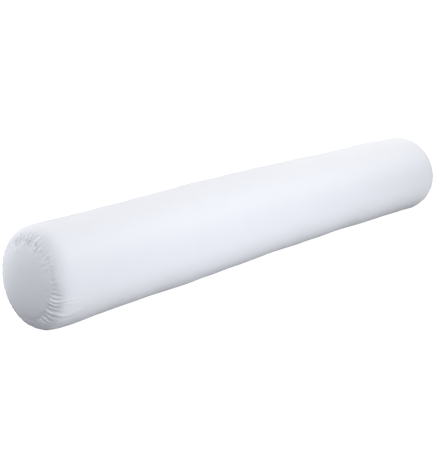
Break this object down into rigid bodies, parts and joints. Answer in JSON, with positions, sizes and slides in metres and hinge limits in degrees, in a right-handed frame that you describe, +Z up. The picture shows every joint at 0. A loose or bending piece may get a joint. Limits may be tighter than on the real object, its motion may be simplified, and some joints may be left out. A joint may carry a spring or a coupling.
{
  "type": "body pillow",
  "caption": "Long round stuffed bolster in plain white cotton, its ends closed by domed round panels with short gathers at their seams.",
  "frame": {"origin": "centre of the overall box, at floor level under the middle of the bolster", "axes": "+X along the bolster's length, +Y across it towards the side it bows to, +Z up"},
  "size_m": [1.4, 0.2174, 0.1974],
  "materials": {
    "cotton": "plain matt woven cotton"
  },
  "bodies": {
    "root": {"filled_tube": "cotton", "end_panel_left": "cotton", "end_panel_right": "cotton"}
  },
  "joints": []
}
